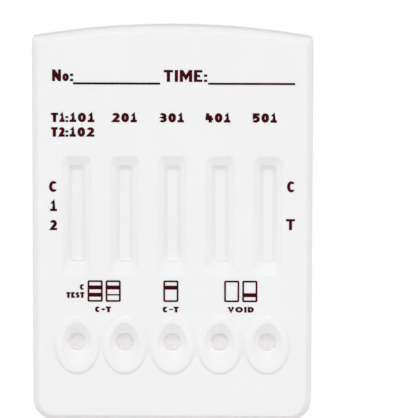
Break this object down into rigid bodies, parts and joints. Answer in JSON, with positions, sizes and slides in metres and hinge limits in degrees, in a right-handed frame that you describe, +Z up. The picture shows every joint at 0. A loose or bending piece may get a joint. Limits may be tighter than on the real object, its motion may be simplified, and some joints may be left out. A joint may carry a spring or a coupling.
{
  "type": "lateral flow cassette",
  "caption": "Flat white moulded test cassette with a bowed head edge, a row of long bevelled reading windows over membrane strips, and a raised oval sample well for each strip.",
  "frame": {"origin": "middle of the case's flat underside, where it rests on the bench", "axes": "+X across the strips, +Y from the sample wells to the bowed head edge, +Z up out of the printed face"},
  "size_m": [0.07, 0.1006, 0.0059],
  "materials": {
    "white_case": "satin",
    "print_ink": "matt",
    "backing_card": "matt",
    "membrane": "matt",
    "conjugate_pad": "fibrous",
    "sample_pad": "fibrous",
    "absorbent_pad": "fibrous"
  },
  "bodies": {
    "root": {"top_cover": "white_case", "bottom_base": "white_case", "printed_marks": "print_ink", "strip_1_backing_card": "backing_card", "strip_1_membrane": "membrane", "strip_1_conjugate_pad": "conjugate_pad", "strip_1_sample_pad": "sample_pad", "strip_1_absorbent_pad": "absorbent_pad", "strip_2_backing_card": "backing_card", "strip_2_membrane": "membrane", "strip_2_conjugate_pad": "conjugate_pad", "strip_2_sample_pad": "sample_pad", "strip_2_absorbent_pad": "absorbent_pad", "strip_3_backing_card": "backing_card", "strip_3_membrane": "membrane", "strip_3_conjugate_pad": "conjugate_pad", "strip_3_sample_pad": "sample_pad", "strip_3_absorbent_pad": "absorbent_pad", "strip_4_backing_card": "backing_card", "strip_4_membrane": "membrane", "strip_4_conjugate_pad": "conjugate_pad", "strip_4_sample_pad": "sample_pad", "strip_4_absorbent_pad": "absorbent_pad", "strip_5_backing_card": "backing_card", "strip_5_membrane": "membrane", "strip_5_conjugate_pad": "conjugate_pad", "strip_5_sample_pad": "sample_pad", "strip_5_absorbent_pad": "absorbent_pad"}
  },
  "joints": []
}
